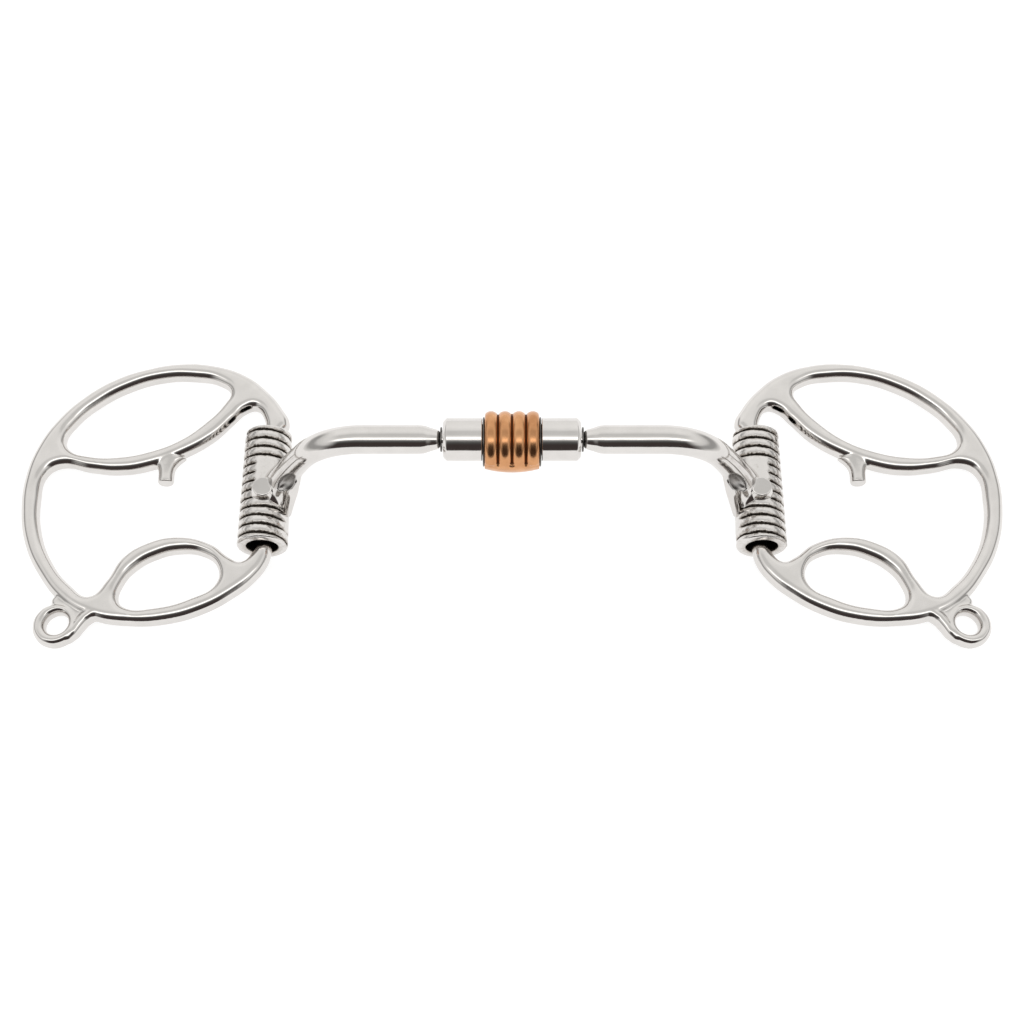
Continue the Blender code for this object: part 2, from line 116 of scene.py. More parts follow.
# ---------------------------------------------------------------- sleeves
SLEEVE_HEAD_R = SLEEVE_REIN_R - 0.5
SLEEVE_BORE_R = 4.7
SLEEVE_EDGE_R = 0.8
SLEEVE_STEPS = 180
SLEEVE_FIRST_ROW, SLEEVE_ROW = 0.12, 0.125       # spacing of the outside's rows of points
REIN_MOUTH_R = 4.45
HEAD_MOUTH = [               # (depth into the sleeve, radius, darkening), outwards; darkening deeper in the bore is painted shade
    (2.2, SLEEVE_BORE_R, 1.0), (1.4, SLEEVE_BORE_R, 1.0),
    (0.7, SLEEVE_BORE_R + 0.02, 0.5), (0.3, SLEEVE_BORE_R + 0.12, 0.2),
    (0.05, SLEEVE_BORE_R + 0.35, 0.2), (0.0, SLEEVE_BORE_R + 0.55, 0.16)]
REIN_MOUTH = [               # the same at the other end, inwards
    (0.0, REIN_MOUTH_R + 0.35, 0.16), (0.06, REIN_MOUTH_R + 0.12, 0.2),
    (0.3, REIN_MOUTH_R, 0.3), (0.8, REIN_MOUTH_R, 0.6),
    (1.4, SLEEVE_BORE_R, 1.0), (2.2, SLEEVE_BORE_R, 1.0)]
GROOVE_COUNT = 13
GROOVE_MARGIN = 1.5
GROOVE_PITCH = (SLEEVE_LENGTH - 2 * GROOVE_MARGIN) / (GROOVE_COUNT - 1)
GROOVE_DEPTH, GROOVE_DEPTH_VARIES = 0.42, 0.12
GROOVE_HALF, GROOVE_HALF_VARIES = 0.27, 0.10
GROOVE_PHASE = 0.25          # of a turn
GROOVE_WANDER = 0.05         # of a pitch
WANDER_NOISE = (3, 0.7, 7)   # (variation round, variation along, shift between the sides)
ROUGH_NOISE = (14, 2.2, 3)
GRIME_HALF = 0.62
GRIME_STAIN, GRIME_STAIN_VARIES = 0.42, 0.5
RIDGE_CROWN = 0.34           # how much a ridge falls from its middle to the groove
SKIN_WEAR = 0.035
BARE_PATCHES = [             # (from, to, soft edge): degrees from the mouth side, then along
    ((-60, 112, 5), (-7.0, 7.0, 0.6)),
    ((-60, 30, 12), (-14.5, -4.0, 1.5))]

# ---------------------------------------------------------------- arms
ARM_R = 3.9
ARM_TAPER = 0.4              # how much the arm slims towards the end of its bend
ARM_NECK_END = 32.0
BEND_START = 40.0
BEND_R = 19.0
BEND_ANGLE = math.radians(58)
PIN_HEAD_DEPTH = 3.4         # from the collar's end wall to the far side of the pin's head
PIN_HEAD = [(0.0, 2.2), (0.4, 2.9), (1.3, 2.9), (1.4, PIN_R)]        # (along, radius)
ARM_NECK = [                 # (past the barrel's end, radius)
    (1.0, PIN_R), (1.1, 2.5), (1.6, 2.7), (3.2, 3.15), (4.9, 3.75), (6.2, ARM_R)]
FLARE_R = ARM_R - ARM_TAPER
FLARE_START = 1.0            # past the bend, where the arm starts to spread
FLARE_OVERLAP = 0.8
FLARE_LENGTH = 15.5
FLARE_POWER = 2.4
FOOT_MIDDLE = 44.0           # degrees round the sleeve from the mouth side
FOOT_SWEEP = 47.0
FOOT_HALF = 6.4
FOOT_SHIFT = -1.6            # towards the rein slots
FOOT_DEPTH = 0.45            # into the sleeve's wall
GUSSET_RIMS = [              # (x, aside from the arm's middle, z, radius)
    (58.2, 1.8, 22.5, 1.2), (59.0, 3.3, 20.2, 1.5), (60.2, 5.0, 16.4, 1.7),
    (61.5, 6.9, 12.0, 1.5), (62.1, 8.4, 8.5, 1.0)]
GUSSET_WEB = (-0.5, 0.8)     # where the web starts and ends, in radii of its rims
NOSE_SHIFT = (-0.3, -3.4)    # from the middle of the sleeve's top
NOSE_HALF = (2.8, 2.6)
NOSE_HEIGHT = 2.2
NOSE_SLOPE = 0.18
NOSE_ROOT_SPREAD = 1.35
NOSE_ROOT_DEPTH = 1.6
POCKET_RADII = (4.6, 2.0, 2.1)
POCKETS = [(-7.4, -4.8, 20.6), (-7.4, 5.2, 20.6)]    # (from the sleeve's axis, aside, z)
CREASE_RADII = (3.0, 0.55, 0.9)
CREASE = (-1.6, 4.7, 14.2)
CREASE_TURN = math.radians(-43)
CREASE_DIP = math.radians(12)
# Painted shade on the walls of the arm's pockets: how dark, and how far from a wall it reaches
POCKET_PAINTED_SHADE = 0.45
POCKET_PAINTED_SHADE_REACH = 0.4
ARM_VOXEL, ARM_ROUNDS = 0.22, 16
FOOT_VOXEL, FOOT_ROUNDS = 0.2, 5

# ---------------------------------------------------------------- cheek rings
RING_X = 67.8
RING_THICKNESS = 6.0
RING_DROP = 0.6
RING_REACH = 68.0
HINGE_BAR_Z = SLEEVE_Z - RING_DROP
RING_TILT = math.asin((HINGE_BAR_Z - RING_THICKNESS / 2) / RING_REACH)
RING_ROUNDING = 2.5          # how far the rounding reaches in from an outline
RING_VOXEL, RING_ROUNDS = 0.27, 8
WALL_FACING = 0.4            # a normal's level part, from which it belongs to a wall

# Outlines of the right cheek ring, (outward from the hinge bar, along it), as in the CAD
RING_OUTLINE = [
    (-2.8, 17.0), (-4.7, 20.7), (-2.4, 26.0), (2.0, 31.6), (8.5, 37.0), (17.5, 40.5),
    (27.5, 41.5), (37.0, 40.1), (46.5, 36.8), (55.0, 31.2), (62.0, 23.9), (67.0, 15.2),
    (69.5, 5.8), (69.6, -4.7), (67.3, -15.3), (62.6, -24.4), (55.5, -32.9), (47.0, -37.9),
    (37.0, -39.9), (26.0, -39.6), (16.0, -36.7), (8.0, -32.1), (2.4, -27.3), (-0.9, -22.2),
    (-1.8, -17.0), (-2.5, 0.0)]
HEADSTALL_SLOT = [
    (59.0, 17.5), (56.4, 22.7), (50.2, 28.7), (42.0, 33.5), (33.0, 36.2), (23.5, 36.3),
    (15.9, 34.4), (12.9, 31.4), (14.6, 27.3), (20.0, 21.2), (26.5, 16.3), (34.0, 13.2),
    (43.0, 11.5), (51.5, 11.9), (57.6, 14.2)]
MIDDLE_OPENING = [
    (5.2, 26.0), (2.7, 22.9), (2.0, 17.0), (2.7, 0.0), (3.4, -17.0), (4.3, -20.2),
    (6.6, -21.9), (9.6, -20.7), (15.0, -16.5), (24.5, -14.0), (33.5, -15.9), (39.8, -20.3),
    (43.4, -26.8), (47.7, -31.4), (53.0, -28.2), (59.4, -20.4), (63.4, -10.7),
    (64.5, -1.2), (63.4, 6.6), (60.0, 9.0), (51.0, 7.4), (43.5, 6.5), (35.0, 7.5),
    (24.6, 11.5), (16.6, 16.5), (11.0, 22.3), (8.0, 25.3)]
REIN_SLOT = [
    (24.5, -18.7), (17.2, -19.7), (13.2, -23.1), (13.1, -28.4), (20.0, -32.8),
    (29.5, -35.3), (37.3, -35.1), (39.6, -32.9), (38.6, -27.3), (35.0, -22.9),
    (30.3, -20.2)]

# The curb eyelet, in the same terms, with the web and the rib of its neck
EYELET_CENTRE = (56.4, -39.8)
EYELET_R = 6.2
EYELET_HOLE_CENTRE = (55.9, -39.5)
EYELET_HOLE = (3.25, 2.95)   # half sizes of the oval hole at its narrowest
EYELET_HOLE_TURN = math.radians(135)
EYELET_THICKNESS = 5.2
EYELET_ROUNDING = 1.6
EYELET_WEB = [
    (58.2, -32.4), (55.0, -31.0), (50.0, -34.6), (45.6, -36.4), (46.6, -38.9), (49.2, -40.2),
    (51.4, -42.6), (51.8, -39.6), (53.3, -36.3), (56.6, -34.7)]
WEB_THICKNESS = 3.7
WEB_ROUNDING = 0.9
EYELET_RIB = [               # (outward, along, half width)
    (45.0, -36.0, 1.90), (46.8, -36.6, 1.90), (48.6, -38.0, 1.85), (50.0, -39.9, 1.80),
    (51.2, -41.9, 1.70), (52.6, -43.4, 1.45), (54.2, -44.3, 1.20)]
EYELET_RIB_HEIGHT = 1.55     # the rib's half height over its half width

# The short stub on the headstall slot's lower bar
STUB_R = 2.25
STUB_CENTRE = 29.5
STUB_END = 3.1
STUB_ROOT = 10.5
STUB_BEVEL = [(0.0, 0.45), (0.12, 0.18), (0.45, 0.0)]        # (along, inset)
STUB_STRAIGHT = 2.4
STUB_OVERLAP = 0.3
STUB_SPREAD = 3.4
STUB_SPREAD_POWER = 2.6
STUB_SWELL = 0.4

SOFT_ROOTS = [               # (outward, along, radius) of the spots where bars are blended
    (STUB_CENTRE - 3.6, 9.0, 3.4), (STUB_CENTRE + 3.6, 9.0, 3.4), (46.0, -39.6, 2.8),
    (52.6, -35.4, 4.0), (57.4, -33.2, 3.8)]
SOFT_ROOT_ROUNDS = 26


# ---------------------------------------------------------------- mesh tools
def add_object(name, data):
    made = bpy.data.objects.new(name, data)
    bpy.context.scene.collection.objects.link(made)
    return made


def mesh_from(name, bm):
    """A new mesh from a bmesh, which is freed."""
    mesh = bpy.data.meshes.new(name)
    bm.to_mesh(mesh)
    bm.free()
    return mesh


def grid_mesh(name, points, close_rows=False):
    """Quads through a grid of points, rows x columns x 3 in mm; each row is a closed loop."""
    rows, columns = points.shape[0], points.shape[1]
    index = np.arange(rows * columns).reshape(rows, columns)
    after = np.roll(index, -1, axis=1)
    if close_rows:
        below, below_after = np.roll(index, -1, axis=0), np.roll(after, -1, axis=0)
    else:
        below, below_after = index[1:], after[1:]
        index, after = index[:-1], after[:-1]
    faces = np.stack([index, after, below_after, below], axis=-1).reshape(-1, 4)
    mesh = bpy.data.meshes.new(name)
    mesh.from_pydata((points.reshape(-1, 3) * MM).tolist(), [], faces.tolist())
    return mesh


def close_ends(mesh, columns):
    """Close the first and last loop of an open grid with a fan to each loop's middle."""
    bm = bmesh.new()
    bm.from_mesh(mesh)
    bm.verts.ensure_lookup_table()
    total = len(bm.verts)
    for first in (0, total - columns):
        loop = [bm.verts[first + i] for i in range(columns)]
        pole = bm.verts.new(sum((v.co for v in loop), Vector()) / columns)
        for i in range(columns):
            bm.faces.new((loop[i], loop[(i + 1) % columns], pole))
        bm.verts.ensure_lookup_table()
    bm.to_mesh(mesh)
    bm.free()


def face_outwards(mesh, weld=False):
    """Turn every face outwards and shade it smooth; weld joins doubled points first."""
    bm = bmesh.new()
    bm.from_mesh(mesh)
    if weld:
        bmesh.ops.remove_doubles(bm, verts=bm.verts, dist=1e-6)
    bmesh.ops.recalc_face_normals(bm, faces=bm.faces)
    bm.to_mesh(mesh)
    bm.free()
    mesh.shade_smooth()


def tidy(mesh):
    """Weld doubles, face everything outwards and shade it smooth but for real edges."""
    face_outwards(mesh, weld=True)
    mesh.set_sharp_from_angle(angle=math.radians(35))
    return mesh


def add_darkening(mesh, values):
    """Keep a darkening from 0 to 1 at each point, which the metals darken by; in bores and pockets
    it is painted shade.
    """
    layer = mesh.attributes.new("groove", 'FLOAT', 'POINT')
    layer.data.foreach_set("value", np.asarray(values, np.float32).ravel())


def darkened_grid(name, points, darkening):
    """A ring-shaped grid that keeps a darkening at each of its points, stains and painted shade.
    """
    mesh = grid_mesh(name, points, close_rows=True)
    add_darkening(mesh, darkening)
    face_outwards(mesh)
    return mesh


def whole_turn(steps):
    """Angles once round, in radians."""
    return np.arange(steps) * 2 * math.pi / steps


def filleted(corners, steps=5):
    """Points of a profile whose corners, (along, radius, fillet), are rounded by arcs."""
    made = []
    count = len(corners)
    for i, (along, radius, fillet) in enumerate(corners):
        here = Vector((along, radius))
        if not fillet:
            made.append(here)
            continue
        before = Vector(corners[i - 1][:2]) - here
        after = Vector(corners[(i + 1) % count][:2]) - here
        half = before.angle(after) / 2
        reach = min(fillet / math.tan(half), before.length * 0.49, after.length * 0.49)
        start, end = here + before.normalized() * reach, here + after.normalized() * reach
        for k in range(steps + 1):
            t = k / steps
            made.append(start * (1 - t) ** 2 + here * 2 * t * (1 - t) + end * t ** 2)
    return made


def turned(name, profile, centre, steps=96):
    """A profile of (along, radius) turned about an axis along X through centre.

    The profile is closed, unless it starts and ends on the axis.
    """
    angles = whole_turn(steps)
    along = np.outer([p[0] for p in profile], np.ones(steps))
    radius = np.outer([max(p[1], 0.0) for p in profile], np.ones(steps))
    points = np.stack([along, radius * np.cos(angles), radius * np.sin(angles)], axis=-1)
    on_axis = profile[0][1] <= 0
    return tidy(grid_mesh(name, points + np.array(centre), close_rows=not on_axis))


def tube(name, route, steps=64, side=(0.0, 1.0, 0.0)):
    """A closed tube through (point, radius) stations; side is square to the whole route."""
    angles = whole_turn(steps)
    places = np.array([tuple(point) for point, _ in route])
    forward = np.gradient(places, axis=0)
    forward /= np.linalg.norm(forward, axis=1)[:, None]
    side = np.array(side)
    up = np.cross(forward, side)
    up /= np.linalg.norm(up, axis=1)[:, None]
    radius = np.array([radius for _, radius in route])[:, None, None]
    loops = places[:, None, :] + radius * (np.cos(angles)[None, :, None] * side
                                           + np.sin(angles)[None, :, None] * up[:, None, :])
    mesh = grid_mesh(name, loops)
    close_ends(mesh, steps)
    return tidy(mesh)


def joined(name, meshes):
    """One mesh holding every shell in turn."""
    bm = bmesh.new()
    for mesh in meshes:
        bm.from_mesh(mesh)
    return mesh_from(name, bm)


def evaluated_mesh(holder):
    """The mesh after an object's modifiers; the object is removed."""
    bpy.context.view_layer.update()
    graph = bpy.context.evaluated_depsgraph_get()
    mesh = bpy.data.meshes.new_from_object(holder.evaluated_get(graph))
    bpy.data.objects.remove(holder)
    return mesh


def add_smoothing(holder, rounds):
    soften = holder.modifiers.new("soften", 'SMOOTH')
    soften.factor = 0.5
    soften.iterations = rounds
    return soften


def melted(mesh, voxel, rounds, cutters=()):
    """Overlapping shells made into one smooth skin, after any cutters are taken away."""
    holder = add_object("melting", mesh)
    tools = []
    for cutter in cutters:
        tool = add_object("cutter", cutter)
        tools.append(tool)
        cut = holder.modifiers.new("cut", 'BOOLEAN')
        cut.operation = 'DIFFERENCE'
        cut.object = tool
    remesh = holder.modifiers.new("skin", 'REMESH')
    remesh.mode = 'VOXEL'
    remesh.voxel_size = voxel * MM
    remesh.use_smooth_shade = True
    add_smoothing(holder, rounds)
    made = evaluated_mesh(holder)
    for tool in tools:
        bpy.data.objects.remove(tool)
    made.shade_smooth()
    return made


def softened(mesh, spots, rounds):
    """Extra smoothing inside a few (x, y, radius) spots, to blend roots into the bars."""
    holder = add_object("softening", mesh)
    group = holder.vertex_groups.new(name="roots")
    for x, y, radius in spots:
        centre = Vector((x, y, 0)) * MM
        for vertex in mesh.vertices:
            share = 1 - (vertex.co - centre).length / (radius * MM)
            if share > 0:
                group.add([vertex.index], min(1.0, 2 * share), 'REPLACE')
    add_smoothing(holder, rounds).vertex_group = group.name
    made = evaluated_mesh(holder)
    made.shade_smooth()
    return made


def on_side(mesh, side):
    """A right-hand mesh as it is, or for side -1 its copy on the other side of YZ."""
    if side > 0:
        return mesh
    made = mesh.copy()
    made.transform(Matrix.Diagonal((-1, 1, 1, 1)))
    made.flip_normals()
    return made


def flat_plate(loops, thickness, filled=True, points_per_span=9):
    """A smooth outline with holes, extruded about the XY plane. Holes come last."""
    curve = bpy.data.curves.new("plate", 'CURVE')
    curve.dimensions = '2D'
    curve.fill_mode = 'BOTH' if filled else 'NONE'
    curve.resolution_u = points_per_span
    curve.render_resolution_u = 0
    curve.extrude = thickness / 2 * MM
    for number, loop in enumerate(loops):
        area = sum(a[0] * b[1] - b[0] * a[1] for a, b in zip(loop, loop[1:] + loop[:1]))
        wanted = 1 if number == 0 else -1
        points = loop if area * wanted > 0 else loop[::-1]
        spline = curve.splines.new('BEZIER')
        spline.bezier_points.add(len(points) - 1)
        spline.use_cyclic_u = True
        for bezier, (x, y) in zip(spline.bezier_points, points):
            bezier.co = (x * MM, y * MM, 0)
            bezier.handle_left_type = bezier.handle_right_type = 'AUTO'
    return tidy(evaluated_mesh(add_object("plate", curve)))


def ellipse(centre, half_long, half_short, turn, count=10):
    """Points round an ellipse whose long side is turned from X."""
    points = []
    for angle in whole_turn(count):
        x, y = half_long * math.cos(angle), half_short * math.sin(angle)
        points.append((centre[0] + x * math.cos(turn) - y * math.sin(turn),
                       centre[1] + x * math.sin(turn) + y * math.cos(turn)))
    return points


def ellipsoid(radii, place):
    """An ellipsoid with its three radii in mm, put in place by a matrix."""
    bm = bmesh.new()
    bmesh.ops.create_uvsphere(bm, u_segments=32, v_segments=16, radius=1.0)
    mesh = mesh_from("ellipsoid", bm)
    mesh.transform(place @ Matrix.Diagonal((*(r * MM for r in radii), 1)))
    return mesh


def hull_mesh(points):
    """The convex hull of some points."""
    bm = bmesh.new()
    for point in points:
        bm.verts.new(point * MM)
    made = bmesh.ops.convex_hull(bm, input=bm.verts)
    bmesh.ops.delete(bm, geom=made["geom_interior"], context='VERTS')
    return mesh_from("hull", bm)


def tree_of(mesh):
    """A mesh's faces, ready for nearest-point searches."""
    return BVHTree.FromPolygons([v.co for v in mesh.vertices],
                                [p.vertices for p in mesh.polygons])


def smooth_step(low, high, value):
    share = np.clip((value - low) / (high - low), 0, 1)
    return share * share * (3 - 2 * share)


def between(low, high, soft, value):
    """1 well inside a range, 0 outside it, with soft ends."""
    risen = smooth_step(low - soft, low + soft, value)
    return risen * (1 - smooth_step(high - soft, high + soft, value))


# ---------------------------------------------------------------- cheek rings
def rounded_plate(loops, thickness, rounding):
    """A plate whose square section is drawn into an ellipse near its outlines, as if cast."""
    blank = melted(flat_plate(loops, thickness), RING_VOXEL, 0)
    walls = flat_plate(loops, 10 * thickness, filled=False, points_per_span=16)
    outline = tree_of(walls)
    half, reach = thickness / 2 * MM, rounding * MM
    # Normals are read before any point moves, because a moved point makes them stale
    normals = [n.vector.copy() for n in blank.vertex_normals]
    moved = []
    for vertex, normal in zip(blank.vertices, normals):
        place = vertex.co.copy()
        nearest, _, _, distance = outline.find_nearest(place)
        wall = max(0.0, 1 - distance / reach)
        height = max(-1.0, min(1.0, place.z / half))
        facing = normal.to_2d()
        inward = -facing if facing.length > WALL_FACING else (place - nearest).to_2d()
        if inward.length > 1e-6:
            shift = reach * wall * (1 - math.sqrt(1 - height * height / 2))
            place += inward.normalized().to_3d() * shift
        place.z = half * height * math.sqrt(1 - wall * wall / 2)
        moved.append(place)
    blank.vertices.foreach_set("co", [number for place in moved for number in place])
    return blank


def lofted_stub():
    """The short stub, its foot spreading into the bar and its end flat and bevelled."""
    stations = [(STUB_END + along, STUB_R - inset, STUB_R - inset)
                for along, inset in STUB_BEVEL]          # (along, half width, half height)
    start, end = STUB_END + STUB_STRAIGHT, STUB_ROOT + STUB_OVERLAP
    for share in np.linspace(0, 1, 13):
        stations.append((start + (end - start) * share,
                         STUB_R + STUB_SPREAD * share ** STUB_SPREAD_POWER,
                         STUB_R + STUB_SWELL * share))
    turn = whole_turn(40)
    loops = [np.stack([STUB_CENTRE + wide * np.cos(turn), np.full(len(turn), along),
                       high * np.sin(turn)], axis=-1) for along, wide, high in stations]
    mesh = grid_mesh("stub", np.array(loops))
    close_ends(mesh, len(turn))
    return tidy(mesh)


def cheek_ring_mesh():
    """The right cheek ring: rounded bars, the curb eyelet on its neck and the short stub."""
    plate = rounded_plate([RING_OUTLINE, HEADSTALL_SLOT, MIDDLE_OPENING, REIN_SLOT],
                          RING_THICKNESS, RING_ROUNDING)
    rim = ellipse(EYELET_CENTRE, EYELET_R, EYELET_R, 0)
    hole = ellipse(EYELET_HOLE_CENTRE, *EYELET_HOLE, EYELET_HOLE_TURN)
    eyelet = rounded_plate([rim, hole], EYELET_THICKNESS, EYELET_ROUNDING)
    web = rounded_plate([EYELET_WEB], WEB_THICKNESS, WEB_ROUNDING)
    rib = tube("rib", [(Vector((x, y, 0)), radius) for x, y, radius in EYELET_RIB], 40,
               side=(0, 0, 1))
    rib.transform(Matrix.Diagonal((1, 1, EYELET_RIB_HEIGHT, 1)))
    mesh = joined("ring", [plate, eyelet, web, rib, lofted_stub()])
    mesh = softened(melted(mesh, RING_VOXEL, RING_ROUNDS), SOFT_ROOTS, SOFT_ROOT_ROUNDS)
    mesh.transform(Matrix.Translation(Vector((RING_X, SLEEVE_Y, HINGE_BAR_Z)) * MM)
                   @ Matrix.Rotation(RING_TILT, 4, 'Y'))
    return mesh


# ---------------------------------------------------------------- sleeves
def sleeve_radius(y):
    """Outside radius of a sleeve at a distance y from its middle."""
    share = y / SLEEVE_LENGTH + 0.5
    return SLEEVE_REIN_R + (SLEEVE_HEAD_R - SLEEVE_REIN_R) * share


def on_sleeve(angle, radius, y):
    """A point round the right sleeve; angle 0 is the mouth side and 90 is the top."""
    turn = math.radians(angle)
    return Vector((SLEEVE_X - radius * math.cos(turn), SLEEVE_Y + y,
                   SLEEVE_Z + radius * math.sin(turn)))


def sleeve_stations():
    """(y from the middle, radius, darkening) round a sleeve's wall; None where it is grooved. At
    the mouths the darkening is painted shade in the bore.
    """
    half = SLEEVE_LENGTH / 2
    rounding = [(SLEEVE_EDGE_R * (1 - math.cos(t)), SLEEVE_EDGE_R * (1 - math.sin(t)))
                for t in np.radians(np.linspace(0, 90, 7))]
    outside = np.arange(half - SLEEVE_EDGE_R - SLEEVE_FIRST_ROW, SLEEVE_EDGE_R - half,
                        -SLEEVE_ROW)
    # The mouths darken into the bore: painted shade
    stations = [(half - depth, radius, darkening) for depth, radius, darkening in HEAD_MOUTH]
    stations += [(half - along, sleeve_radius(half) - less, None) for along, less in rounding]
    stations += [(y, sleeve_radius(y), None) for y in outside]
    stations += [(along - half, sleeve_radius(-half) - less, None)
                 for along, less in rounding[::-1]]
    stations += [(depth - half, radius, darkening) for depth, radius, darkening in REIN_MOUTH]
    return stations


def noise_round(angles, y, side, around, along, shift):
    """Noise at each angle round a sleeve at y, different on each side."""
    depth = y * along + shift * side
    return np.array([noise.noise(Vector((math.cos(a) * around, math.sin(a) * around, depth)))
                     for a in angles])


def grooved(y, radius, angles, side):
    """Radius and staining at each angle of a sleeve, where the groove winds past y."""
    wander = noise_round(angles, y, side, *WANDER_NOISE)
    rough = noise_round(angles, y, side, *ROUGH_NOISE)
    from_mouth = (math.pi - angles) if side > 0 else angles
    from_mouth = np.degrees((from_mouth + math.pi / 2) % (2 * math.pi) - math.pi / 2)
    patches = [between(*turn, from_mouth) * between(*along, y) for turn, along in BARE_PATCHES]
    worked = 1 - np.maximum(*patches)

    from_end = SLEEVE_LENGTH / 2 - GROOVE_MARGIN - y
    turns = (from_end / GROOVE_PITCH + angles / (2 * math.pi) - GROOVE_PHASE
             + GROOVE_WANDER * wander)
    number = np.round(turns)
    off = (turns - number) * GROOVE_PITCH
    wound = ((number >= 0) & (number <= GROOVE_COUNT - 1)) * worked
    deep = np.exp(-(off / (GROOVE_HALF + GROOVE_HALF_VARIES * rough)) ** 2) * wound
    grime = np.exp(-(off / GRIME_HALF) ** 2) * wound
    down_ridge = 1 - np.clip(2 * np.abs(off) / GROOVE_PITCH, 0, 1)

    radius = (radius - (GROOVE_DEPTH + GROOVE_DEPTH_VARIES * wander) * deep
              - RIDGE_CROWN * down_ridge ** 2 * wound - SKIN_WEAR * (1 + rough) * worked)
    return radius, np.maximum(deep, grime * (GRIME_STAIN + GRIME_STAIN_VARIES * rough))


def sleeve_mesh(side):
    """A tube with one groove wound round it, bare under the arm's foot, and rounded ends."""
    angles = whole_turn(SLEEVE_STEPS)                    # 0 towards +X, a quarter turn up
    stations = sleeve_stations()
    points = np.zeros((len(stations), SLEEVE_STEPS, 3))
    darkenings = np.zeros((len(stations), SLEEVE_STEPS))
    for row, (y, radius, darkening) in enumerate(stations):
        if darkening is None:
            radius, darkening = grooved(y, radius, angles, side)
        points[row, :, 0] = radius * np.cos(angles)
        points[row, :, 1] = y
        points[row, :, 2] = radius * np.sin(angles)
        darkenings[row] = darkening
    points += np.array([side * SLEEVE_X, SLEEVE_Y, SLEEVE_Z])
    return darkened_grid("sleeve", points, darkenings)


# ---------------------------------------------------------------- arms
def arm_route():
    """Stations of the right arm up to the end of its bend, and its direction there."""
    head = BARREL_HALF - COLLAR_END_WALL - PIN_HEAD_DEPTH
    stations = [(head + along, radius) for along, radius in PIN_HEAD]
    stations += [(BARREL_HALF + along, radius) for along, radius in ARM_NECK]
    stations.append((ARM_NECK_END, ARM_R))
    route = [(Vector((x, SLEEVE_Y, BARREL_Z)), radius) for x, radius in stations]
    for share in np.linspace(0, 1, 25):
        angle = BEND_ANGLE * share
        place = Vector((BEND_START + BEND_R * math.sin(angle), SLEEVE_Y,
                        BARREL_Z - BEND_R * (1 - math.cos(angle))))
        route.append((place, ARM_R - ARM_TAPER * share ** 2))
    return route, Vector((math.cos(BEND_ANGLE), 0, -math.sin(BEND_ANGLE)))


def arm_flare(start, direction):
    """The round arm spreading into a saddle-shaped foot on the sleeve."""
    steps, around = 26, 96
    across = Vector((-direction.z, 0, direction.x))
    loops = np.zeros((steps + 1, around, 3))
    for k in range(steps + 1):
        share = k / steps
        spread = share ** FLARE_POWER
        for i, turn in enumerate(whole_turn(around)):
            rod = (start + direction * (FLARE_LENGTH * share)
                   + (across * math.cos(turn) + Vector((0, math.sin(turn), 0))) * FLARE_R)
            foot = on_sleeve(FOOT_MIDDLE + FOOT_SWEEP * math.cos(turn),
                             sleeve_radius(0) - FOOT_DEPTH,
                             FOOT_SHIFT + FOOT_HALF * math.sin(turn))
            loops[k, i] = rod * (1 - spread) + foot * spread
    mesh = grid_mesh("flare", loops)
    close_ends(mesh, around)
    return tidy(mesh)


def arm_gusset():
    """The web from the arm's underside to the mouth side of the sleeve, with rounded rims."""
    shells, web = [], []
    for flank in (-1, 1):
        route = [(Vector((x, SLEEVE_Y + flank * aside, z)), radius)
                 for x, aside, z, radius in GUSSET_RIMS]
        shells.append(tube("rim", route, 32))
        for place, radius in route:
            web += [place + Vector((shift * radius, 0, 0)) for shift in GUSSET_WEB]
    shells.append(hull_mesh(web))
    return shells


def arm_nose():
    """The boss on top of the sleeve where the arm's end is ground flat."""
    centre = Vector((SLEEVE_X + NOSE_SHIFT[0], SLEEVE_Y + NOSE_SHIFT[1],
                     SLEEVE_Z + SLEEVE_REIN_R))
    points = []
    for turn in whole_turn(32):
        radius = Vector((NOSE_HALF[0] * math.cos(turn), NOSE_HALF[1] * math.sin(turn), 0))
        top = Vector((0, 0, NOSE_HEIGHT + NOSE_SLOPE * radius.y))
        root = Vector((0, 0, -NOSE_ROOT_DEPTH))
        points += [centre + radius + top, centre + radius * NOSE_ROOT_SPREAD + root]
    return hull_mesh(points)


def by_sleeve(x, y, z):
    """A shift to a point given from the right sleeve's axis and the arm's middle, with its z."""
    return Matrix.Translation(Vector((SLEEVE_X + x, SLEEVE_Y + y, z)) * MM)


def arm_pockets(direction):
    """The long hollows in both flanks of the foot, and the crease behind its crest."""
    across = Vector((-direction.z, 0, direction.x))
    axes = Matrix((direction, across, direction.cross(across))).transposed().to_4x4()
    pockets = [ellipsoid(POCKET_RADII, by_sleeve(*place) @ axes) for place in POCKETS]
    turn = Matrix.Rotation(CREASE_TURN, 4, 'Z') @ Matrix.Rotation(CREASE_DIP, 4, 'Y')
    pockets.append(ellipsoid(CREASE_RADII, by_sleeve(*CREASE) @ turn))
    return pockets


def paint_shade_in_pockets(mesh, pockets):
    """Paint shade on the points that lie on a pocket's wall, so that the metal darkens there."""
    reach = POCKET_PAINTED_SHADE_REACH * MM
    darkening = np.zeros(len(mesh.vertices))
    for pocket in pockets:
        walls = tree_of(pocket)
        for i, vertex in enumerate(mesh.vertices):
            nearest, _, _, distance = walls.find_nearest(vertex.co, reach)
            if nearest is not None:
                darkening[i] = max(darkening[i], 1 - distance / reach)
    add_darkening(mesh, darkening * POCKET_PAINTED_SHADE)


